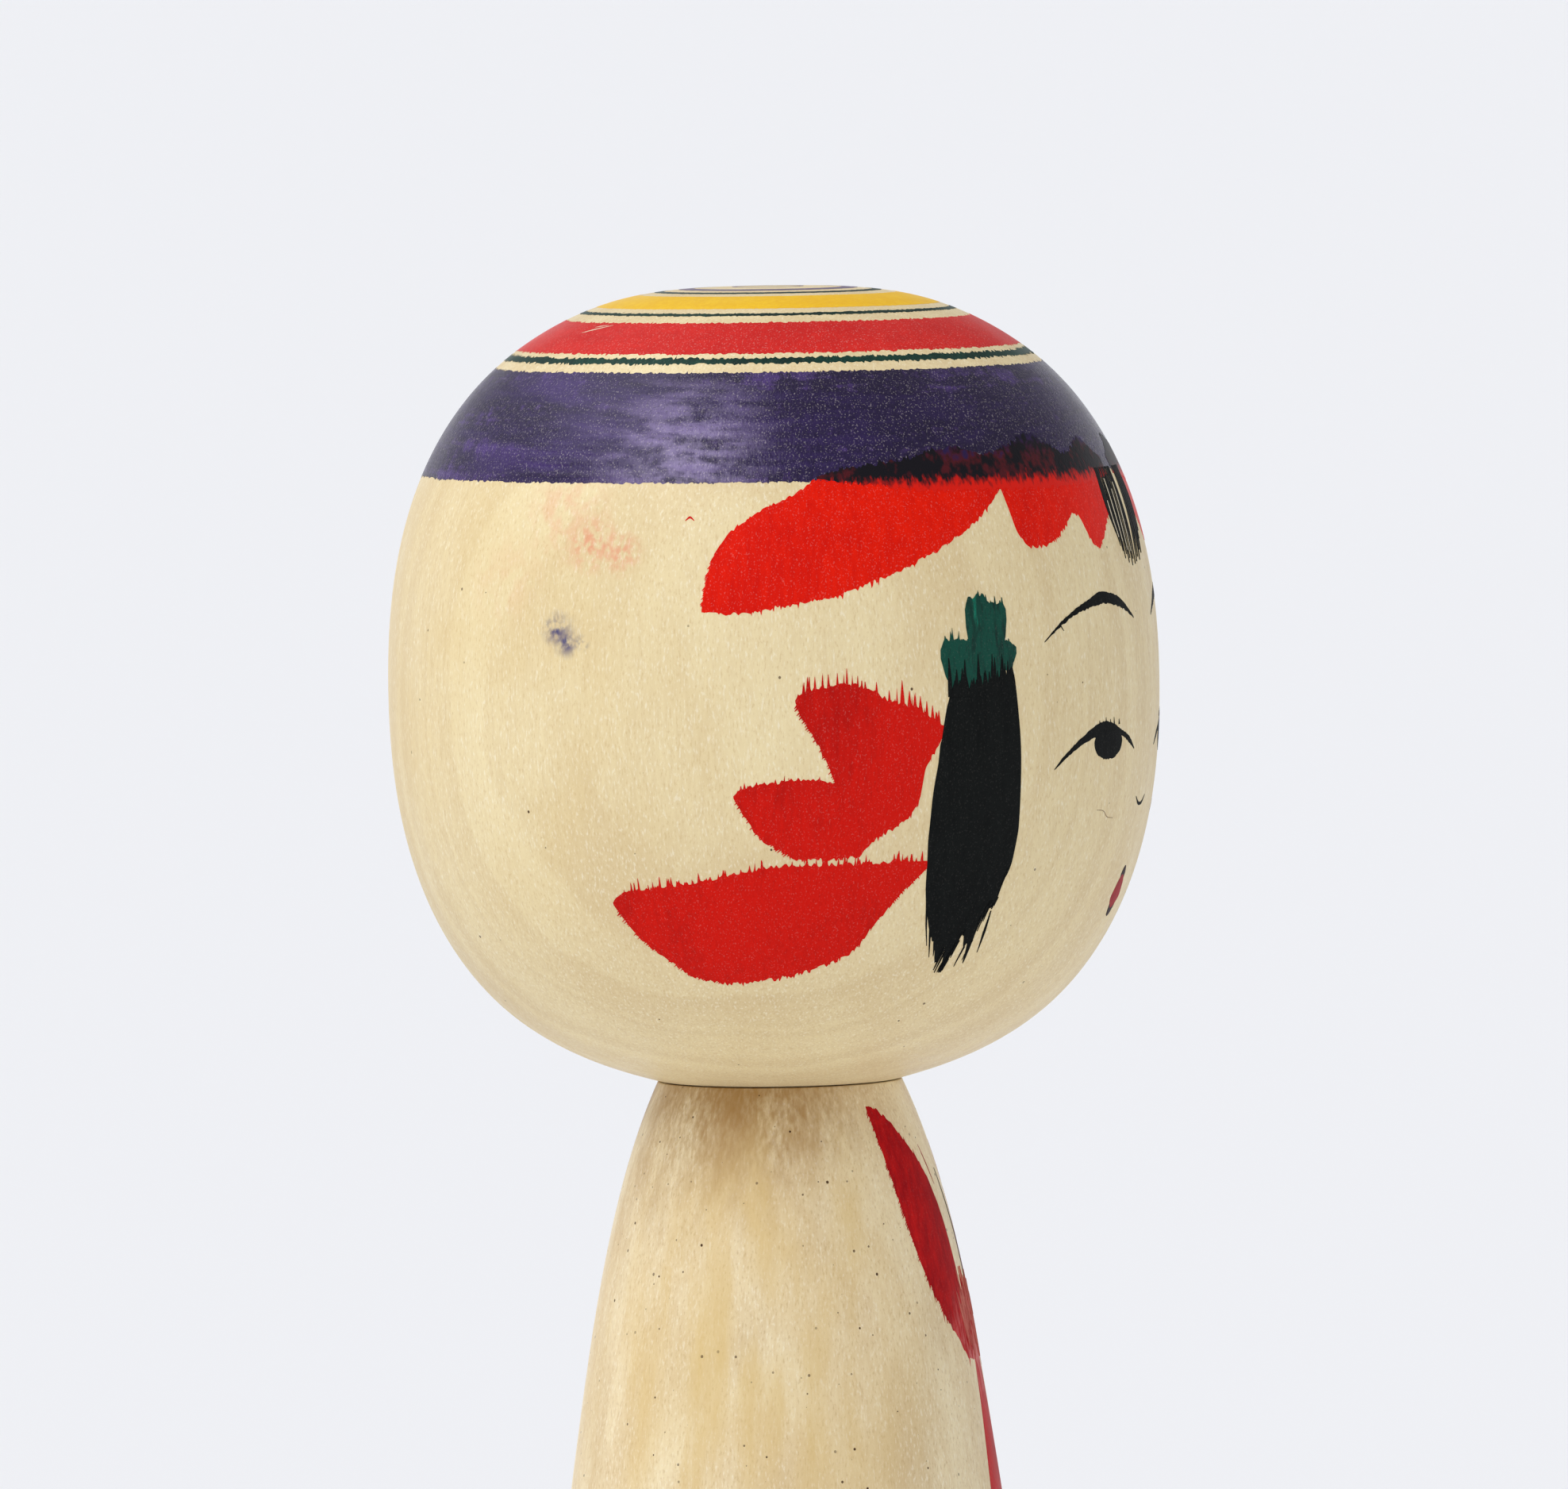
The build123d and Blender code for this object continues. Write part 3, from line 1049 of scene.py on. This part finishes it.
LOCK_HAIRS = [
    # from the lock's lower edge to its tip, as (turn, height), with its width
    ([(37.0, 183.0), (37.2, 181.0), (37.3, 179.1)], [0.12, 0.3, 0.05]),
    ([(49.6, 184.6), (48.9, 182.0), (48.0, 180.0)], [0.2, 0.16, 0.05]),
    ([(48.7, 183.4), (47.8, 180.9), (47.0, 178.9)], [0.22, 0.2, 0.05]),
    ([(47.2, 181.6), (46.6, 180.1), (46.2, 179.0)], [0.2, 0.2, 0.05]),
]
LOCK_DRY_HAIRS = 30
LOCK_TIP = 177.4
LOCK_TOP_HAIRS = 22
RIBBON_BLOCKS = [
    # the upper and the lower edge of the loop, then of the knot below it
    ([(37.2, 210.8), (37.8, 211.2), (40, 211.2), (41.4, 212.0), (43.8, 211.7), (44.4, 210.9)],
     [(37.2, 209.8), (38.0, 207.6), (44, 207.9), (44.4, 209.3)]),
    ([(35.7, 207.3), (37, 207.6), (44.5, 208.0), (46.5, 208.1), (48.2, 208.0), (48.8, 207.3)],
     [(35.7, 206.7), (36.6, 205.7), (39, 204.9), (40.5, 204.1), (46.8, 204.1), (47.8, 204.6),
      (48.8, 206.5)]),
]


def dry_lock_hairs(seed, mirror):
    """The thin separate hairs along the lock's lower end, which the brush left as it lifted."""
    rng = np.random.default_rng(seed)
    hairs = []
    for number in range(LOCK_DRY_HAIRS):
        turn = rng.uniform(35.2, 44.6)
        start = float(brush_edge(LOCK_LOWER, turn)) + rng.uniform(-0.3, 0.8)
        reach = min(rng.uniform(0.5, 2.2), max(start - LOCK_TIP, 0.3))
        middle = (turn + 0.25 * reach, start - reach / 2)
        points = [(turn, start), middle, (turn + 0.45 * reach, start - reach)]
        width = rng.uniform(0.07, 0.2)
        widths = [width, width * 0.8, 0.03]
        hairs.append(hair_shell(HEAD, points, widths, DRY_HAIR_LIFT + 0.002 * number, mirror, samples=10))
    return hairs


def top_lock_hairs(seed, mirror):
    """The lock's own hairs that overlie the ribbon, close at the foot and split at the tips."""
    rng = np.random.default_rng(seed)
    hairs = []
    for number, turn in enumerate(np.linspace(37.4, 47.4, LOCK_TOP_HAIRS)):
        tip = 204.5 + 2.4 * rng.random() ** 2.2
        points = [(turn, 203.0), (turn + rng.uniform(-0.3, 0.3), tip)]
        lift = TOP_HAIR_LIFT + 0.002 * number
        hairs.append(hair_shell(HEAD, points, [0.42, 0.34, 0.04], lift, mirror, samples=10))
    return hairs


def make_side_locks():
    for side_name, mirror in SIDES:
        edges = LOCK_UPPER, LOCK_LOWER
        spikes = (22, 0.6)
        shells = [stroke_shell(HEAD, *edges, LOCK_LIFT, 300 + mirror, spikes, spikes, mirror)]
        for number, (points, widths) in enumerate(LOCK_HAIRS):
            shells.append(hair_shell(HEAD, points, widths, LOCK_LIFT + 0.002 + 0.001 * number, mirror))
        shells += dry_lock_hairs(330 + mirror, mirror)
        shells += top_lock_hairs(340 + mirror, mirror)
        paint_on(f"side_lock_{side_name}", shells, black, "head")
        shells = []
        for number, (upper, lower) in enumerate(RIBBON_BLOCKS):
            seed = 320 + 10 * mirror + number
            lift = RIBBON_LIFT + 0.003 * number
            shells.append(stroke_shell(HEAD, upper, lower, lift, seed, (36, 1.3), (24, 0.7), mirror))
        paint_on(f"ribbon_{side_name}", shells, brushed_green, "head")


make_side_locks()


# ---------------------------------------------------------------- face

BROW_UPPER = [(5, 209.25), (7, 210.1), (10, 211.2), (13, 211.65), (15.3, 211.8), (19, 211.2), (23, 210.3),
              (26.5, 209.2), (30, 207.65)]
BROW_LOWER = [(5, 209.1), (8, 210.0), (11, 210.5), (15, 210.8), (19, 210.5), (23, 209.9), (26.5, 208.95),
              (30, 207.55)]
BROW_HAIR = [(26.3, 208.95), (26.0, 208.7), (25.7, 208.5)]
LID_UPPER = [(5.7, 197.15), (8, 198.25), (11, 199.0), (14, 199.7), (16, 199.85), (18, 199.65), (20, 199.15),
             (23.5, 198.0), (26.5, 196.7), (28, 195.85)]
LID_LOWER = [(5.7, 197.0), (7.5, 197.6), (10.5, 198.4), (14.5, 198.65), (18.5, 198.5), (21, 198.1),
             (25, 197.0), (28, 195.75)]
LASH_FOOT = 199.5
LASHES = [(11.6, 0.2), (13.2, 0.4), (14.3, 0.25), (15.6, 0.45), (17.4, 0.2)]  # turn, how far above the lid
PUPIL_TURN = 14.6
PUPIL_HEIGHT = 198.0
PUPIL_HALF_WIDTH = 4.15
PUPIL_DROP = 1.6
PUPIL_RISE = 1.0
NOSE_HALF = [(0.0, 191.75), (0.8, 191.8), (1.6, 192.05), (2.5, 192.5)]
CHEEK_LINE = [(11, 190.8), (13, 190.95), (14.5, 191.55), (16.5, 191.7)]
FOREHEAD_LOCKS = [
    # turn at the band, turn at the tip, height of the tip, widest in mm
    (7.3, 6.6, 217.0, 0.55),
    (6.6, 5.9, 215.8, 0.60),
    (5.6, 5.3, 215.3, 0.26),
    (4.7, 4.8, 214.6, 0.50),
    (3.8, 4.1, 215.0, 0.22),
    (3.0, 3.5, 214.2, 0.45),
    (2.1, 2.9, 214.6, 0.20),
    (1.2, 2.1, 213.9, 0.42),
    (0.4, 1.4, 214.5, 0.24),
    (-0.4, 0.6, 214.0, 0.34),
    (-3.4, -0.4, 214.2, 0.36),
    (-4.2, -1.5, 214.6, 0.26),
    (-4.9, -2.5, 214.3, 0.34),
    (-5.6, -3.5, 215.2, 0.22),
    (-6.2, -4.4, 214.9, 0.34),
    (-6.9, -5.4, 216.2, 0.24),
    (-7.5, -6.4, 216.9, 0.30),
]
FOREHEAD_SLITS = [
    # turn at the top, turn at the tip, height of the top, height of the tip, width in mm
    (6.6, 6.0, 220.0, 216.6, 0.07),
    (4.7, 4.8, 222.0, 216.2, 0.08),
    (3.0, 3.5, 221.0, 215.4, 0.08),
    (1.2, 2.0, 221.6, 215.2, 0.09),
]
MOUTH_PARTS = [
    # name, finish, upper edge, lower edge, each from the middle out: the lip lines are darker
    ("mouth_red", mouth_red, [(0, 185.4), (1.4, 184.6), (2.5, 183.3)],
     [(0, 181.9), (1.3, 182.3), (2.5, 183.0)]),
    ("mouth_upper_line", lip, [(0, 185.95), (0.6, 185.75), (1.1, 185.3)],
     [(0, 185.2), (0.6, 185.1), (1.1, 184.9)]),
    ("mouth_lower_line", lip, [(0, 182.0), (0.8, 182.15), (1.5, 182.5)],
     [(0, 181.3), (0.8, 181.5), (1.5, 182.2)]),
]


def make_pupil_edges():
    """The round pupil, its top hidden under the lid's line."""
    angles = np.radians(np.linspace(180, 0, 13))
    turns = PUPIL_TURN + PUPIL_HALF_WIDTH * np.cos(angles)
    upper = PUPIL_HEIGHT + PUPIL_RISE * np.sin(angles)
    lower = PUPIL_HEIGHT - PUPIL_DROP * np.sin(angles)
    return list(zip(turns, upper)), list(zip(turns, lower))


def make_face():
    for side_name, mirror in SIDES:
        seed = 400 + 20 * mirror
        shell = stroke_shell(HEAD, BROW_UPPER, BROW_LOWER, FACE_LIFT, seed, (8, 0.12), (10, 0.22), mirror)
        hair = hair_shell(HEAD, BROW_HAIR, [0.12, 0.1, 0.04], FACE_LIFT + 0.002, mirror)
        paint_on(f"eyebrow_{side_name}", [shell, hair], black, "head")
        lid = stroke_shell(HEAD, LID_UPPER, LID_LOWER, FACE_LIFT, seed + 1, (10, 0.12), (6, 0.12), mirror)
        lashes = []
        for turn, reach in LASHES:
            points = [(turn, LASH_FOOT), (turn + 0.1, LASH_FOOT + 0.3 + reach)]
            lashes.append(hair_shell(HEAD, points, [0.26, 0.05], FACE_LIFT + 0.002, mirror, samples=6))
        upper, lower = make_pupil_edges()
        pupil = stroke_shell(HEAD, upper, lower, FACE_LIFT + 0.004, seed + 2, (2, 0.1), (14, 0.2), mirror)
        paint_on(f"eye_{side_name}", [lid, pupil, *lashes], black, "head")
        cheek = hair_shell(HEAD, CHEEK_LINE, [0.04, 0.07, 0.07, 0.04], STROKE_LIFT, mirror)
        paint_on(f"cheek_line_{side_name}", [cheek], brown, "head")
    nose = hair_shell(HEAD, both_sides(NOSE_HALF), [0.1, 0.3, 0.32, 0.3, 0.1], STROKE_LIFT, samples=40)
    paint_on("nose", [nose], black, "head")
    for number, (name, finish, upper, lower) in enumerate(MOUTH_PARTS):
        edges = both_sides(upper), both_sides(lower)
        lift = STROKE_LIFT + 0.004 * number
        shell = stroke_shell(HEAD, *edges, lift, 450 + number, (4, 0.12), (4, 0.12))
        paint_on(name, [shell], finish, "head")


def make_forelock():
    """The tuft over the forehead, drawn with a split brush: dense on one side and dry on the other."""
    strands = []
    for number, (top_turn, tip_turn, tip_height, width) in enumerate(FOREHEAD_LOCKS):
        middle = (top_turn * 0.55 + tip_turn * 0.45 + 0.06 * top_turn, (BAND_LOW + tip_height) / 2)
        points = [(top_turn * 0.92, BAND_LOW + 0.05), middle, (tip_turn, tip_height)]
        widths = [width * 0.8, width, width, 0.08]
        strands.append(hair_shell(HEAD, points, widths, FORELOCK_LIFT + 0.003 * number))
    slits = []
    for number, (top_turn, tip_turn, top_height, tip_height, width) in enumerate(FOREHEAD_SLITS):
        middle = ((top_turn + tip_turn) / 2 + 0.25, (top_height + tip_height) / 2)
        points = [(top_turn, top_height), middle, (tip_turn, tip_height)]
        widths = [width * 0.6, width, width, 0.05]
        slits.append(hair_shell(HEAD, points, widths, SLIT_LIFT + 0.003 * number))
    paint_on("forelock_slits", slits, bare, "head")
    paint_on("forelock", strands, black, "head")


make_face()
make_forelock()


# ---------------------------------------------------------------- dress

DRESS_CENTRE = -6.5  # the body's own front stands a little to one side of the face, in degrees

WING_UPPER = [(4.0, 142.0), (5.4, 146.0), (6.8, 150.0), (8.4, 153.0), (13.0, 156.8), (21.5, 160.1),
              (31.5, 162.7), (38.2, 163.8), (40.4, 163.9)]
WING_LOWER = [(4.0, 139.8), (9.5, 140.2), (15.5, 142.2), (21.5, 144.6), (27.5, 148.0), (32.3, 152.5),
              (35.0, 156.0), (38.0, 160.5), (40.4, 163.7)]
BUD_UPPER = both_sides([(0, 143.0), (3.0, 141.6), (4.6, 138.6), (5.6, 135.5), (7.2, 131.5), (8.8, 127.0),
                        (10.0, 118.0)])
BUD_LOWER = both_sides([(0, 104.0), (3.0, 105.2), (7.0, 109.0), (10.0, 116.0)])
LEFT_LEAN = 1.5  # how much further round the wings on the doll's left are, in degrees
DRY_STREAKS = 44
STAGE_DROP = 42.0
STAGE_COUNT = 3
LEAF_UPPER = [(2.0, 35.0), (10, 41.0), (22, 45.0), (34, 44.0), (41, 39.5)]
LEAF_LOWER = [(2.0, 33.0), (10, 31.0), (22, 31.5), (34, 35.5), (41, 39.0)]
DRESS_LINE = [(7.6, 156.2), (9.4, 157.6), (11.2, 159.0), (12.6, 160.0)]
STEM_LINE = [(1.5, 157.6), (-2.5, 154.0), (-5.5, 150.5), (-4.5, 146.0), (-2.0, 142.0)]
HEM_RINGS = [
    # name, lower and upper height, finish
    ("hem_purple_ring", 6.0, 11.0, purple),
    ("hem_green_line", 12.2, 12.9, green),
    ("hem_red_ring", 14.2, 17.6, ring_red),
    ("hem_yellow_ring", 18.8, 20.6, yellow),
    ("hem_upper_green_line", 21.8, 22.3, green),
]


def dropped(points, drop):
    """The same line lower down the body, by a drop in millimetres."""
    return [(turn, height - drop) for turn, height in points]


def dry_streaks(seed, lift, innermost, outermost):
    """Upright hairlines between and over the top wings' roots, fanning out a little as they rise."""
    rng = np.random.default_rng(seed)
    streaks = []
    for number in range(DRY_STREAKS):
        turn = rng.uniform(innermost, outermost) * rng.choice([-1, 1])
        foot = rng.uniform(139.8, 144.5)
        reach = rng.uniform(1.5, 4.5)
        middle = (turn * (1 + 0.03 * reach), foot + reach / 2)
        points = [(turn, foot), middle, (turn * (1 + 0.07 * reach), foot + reach)]
        width = rng.uniform(0.10, 0.30)
        widths = [0.03, width, width, 0.03]
        height_off = lift + 0.001 * number
        streaks.append(hair_shell(BODY, points, widths, height_off, centre=DRESS_CENTRE, samples=12))
    return streaks


def make_dress():
    lift = STROKE_LIFT
    for stage in range(STAGE_COUNT):
        drop = STAGE_DROP * stage
        for side_name, mirror in SIDES:
            seed = 500 + 10 * stage + mirror
            centre = DRESS_CENTRE - LEFT_LEAN * mirror
            edges = dropped(WING_UPPER, drop), dropped(WING_LOWER, drop)
            wing = stroke_shell(BODY, *edges, lift, seed, (12, 0.9), (16, 1.4), mirror, centre)
            steep = dropped(WING_LOWER[3:], drop)
            fibres = edge_fibres(BODY, steep, seed + 50, (1.1, -0.35), lift + 0.002, mirror, centre)
            paint_on(f"dress_petal_{stage + 1}_{side_name}", [wing, *fibres], crimson, "body")
            path = dropped(DRESS_LINE, drop)
            widths = [0.04, 0.12, 0.16, 0.10, 0.04]
            line = hair_shell(BODY, path, widths, lift, mirror, DRESS_CENTRE, samples=30)
            paint_on(f"dress_line_{stage + 1}_{side_name}", [line], crimson, "body")
        edges = dropped(BUD_UPPER, drop), dropped(BUD_LOWER, drop)
        spikes = (6, 0.4)
        bud = stroke_shell(BODY, *edges, lift + 0.004, 540 + stage, spikes, spikes, centre=DRESS_CENTRE)
        paint_on(f"dress_bud_{stage + 1}", [bud], crimson, "body")
    widths = [0.1, 0.35, 0.6, 0.6, 0.2]
    stem = hair_shell(BODY, STEM_LINE, widths, lift + 0.010, centre=DRESS_CENTRE, samples=60)
    paint_on("dress_stem", [stem], lip, "body")
    paint_on("dress_root_streaks", dry_streaks(600, lift + 0.012, 0.0, 5.0), crimson, "body")
    paint_on("dress_pale_streaks", dry_streaks(620, lift + 0.060, 1.0, 8.5), dry_pink, "body")
    for side_name, mirror in SIDES:
        edges = LEAF_UPPER, LEAF_LOWER
        leaf = stroke_shell(BODY, *edges, lift, 560 + mirror, (8, 0.8), (6, 0.4), mirror, DRESS_CENTRE)
        paint_on(f"dress_leaf_{side_name}", [leaf], brushed_green, "body")
    for number, (name, low, high, finish) in enumerate(HEM_RINGS):
        arcs = BODY.arc_at_height(high), BODY.arc_at_height(low)
        shell = ring_shell(BODY, *arcs, RING_LIFT, 580 + number)
        paint_on(name, [shell], finish, "body")


make_dress()


# ---------------------------------------------------------------- stage, light and camera

FLOOR_SIZE = 120.0
FLOOR_COLOUR = (0.906, 0.911, 0.933)
WORLD_COLOUR = (0.975, 0.985, 1.016)
WORLD_HORIZON = 0.895
WORLD_FADE = (0.12, 0.34)  # sines of the elevations between which the horizon's brightness fades
WORLD_BRIGHT_SIDE = 0.66
WORLD_DIM_SIDE = 0.36
WORLD_BRIGHT_AZIMUTH = 225.0
SUNS = [
    # name, azimuth, elevation, strength, angle across
    ("key", 247.0, 45.0, 0.94, 32.0),
    ("overhead", 190.0, 60.0, 0.85, 48.0),
]
CAMERA_AZIMUTH = 286.0
CAMERA_ELEVATION = 3.0
CAMERA_ROLL = 0.87
CAMERA_DISTANCE = 1.5
CAMERA_AIM_HEIGHT = 0.1972
CAMERA_AIM_SHIFT = 0.00086
CAMERA_LENS = 368.8


def direction_to(azimuth, elevation):
    """The unit vector from the doll towards an azimuth, 0 at -Y and 90 at +X, and an elevation."""
    around, above = math.radians(azimuth), math.radians(elevation)
    return Vector((
        math.sin(around) * math.cos(above),
        -math.cos(around) * math.cos(above),
        math.sin(above),
    ))


def make_floor():
    mesh = bpy.data.meshes.new("floor")
    half = FLOOR_SIZE / 2
    corners = [(-half, -half, 0), (half, -half, 0), (half, half, 0), (-half, half, 0)]
    mesh.from_pydata(corners, [], [(0, 1, 2, 3)])
    floor = bpy.data.objects.new("floor", mesh)
    bpy.context.scene.collection.objects.link(floor)
    material = bpy.data.materials.new("pale_floor")
    material.use_nodes = True
    shader = material.node_tree.nodes["Principled BSDF"]
    shader.inputs["Base Color"].default_value = (*FLOOR_COLOUR, 1.0)
    shader.inputs["Roughness"].default_value = 0.9
    shader.inputs["Specular IOR Level"].default_value = 0.1
    mesh.materials.append(material)


def make_world():
    """Bright at and below the horizon, as behind a studio's paper roll.

    Above that it is dimmer, and dimmest away from the bright azimuth.
    """
    world = bpy.data.worlds.new("studio")
    world.use_nodes = True
    tree = world.node_tree
    place = add_node(tree, "ShaderNodeTexCoord").outputs["Generated"]
    inputs = {0: place, 1: direction_to(WORLD_BRIGHT_AZIMUTH, 0.0)}
    towards = add_node(tree, "ShaderNodeVectorMath", inputs, operation="DOT_PRODUCT").outputs["Value"]
    inputs = {"Value": towards, "From Min": -1.0, "To Min": WORLD_DIM_SIDE, "To Max": WORLD_BRIGHT_SIDE}
    above = add_node(tree, "ShaderNodeMapRange", inputs).outputs["Result"]
    inputs = {
        "Value": add_node(tree, "ShaderNodeSeparateXYZ", {0: place}).outputs["Z"],
        "From Min": WORLD_FADE[0],
        "From Max": WORLD_FADE[1],
        "To Min": WORLD_HORIZON,
        "To Max": above,
    }
    blend = add_node(tree, "ShaderNodeMapRange", inputs, interpolation_type="SMOOTHSTEP")
    background = tree.nodes["Background"]
    background.inputs["Color"].default_value = (*WORLD_COLOUR, 1.0)
    tree.links.new(blend.outputs["Result"], background.inputs["Strength"])
    bpy.context.scene.world = world


def make_sun(name, azimuth, elevation, strength, spread):
    """A far softbox: even over the whole floor, with soft shadows."""
    data = bpy.data.lights.new(name, "SUN")
    data.energy = strength
    data.angle = math.radians(spread)
    light = bpy.data.objects.new(name, data)
    light.rotation_mode = "QUATERNION"
    light.rotation_quaternion = direction_to(azimuth, elevation).to_track_quat("Z", "Y")
    bpy.context.scene.collection.objects.link(light)


def make_camera():
    back = direction_to(CAMERA_AZIMUTH, CAMERA_ELEVATION)
    right = Vector((0, 0, 1)).cross(back).normalized()
    up = back.cross(right)
    roll = math.radians(CAMERA_ROLL)
    side = right * math.cos(roll) - up * math.sin(roll)
    top = right * math.sin(roll) + up * math.cos(roll)
    aim = Vector((0, 0, CAMERA_AIM_HEIGHT)) + right * CAMERA_AIM_SHIFT
    data = bpy.data.cameras.new("camera")
    data.lens = CAMERA_LENS
    data.sensor_width = 36.0
    data.clip_start = 0.05
    data.clip_end = FLOOR_SIZE
    camera = bpy.data.objects.new("camera", data)
    bpy.context.scene.collection.objects.link(camera)
    axes = Matrix((side, top, back)).transposed().to_4x4()
    camera.matrix_world = Matrix.Translation(aim + back * CAMERA_DISTANCE) @ axes
    bpy.context.scene.camera = camera


make_floor()
make_world()
for sun in SUNS:
    make_sun(*sun)
make_camera()
bpy.context.scene.view_settings.view_transform = "Standard"
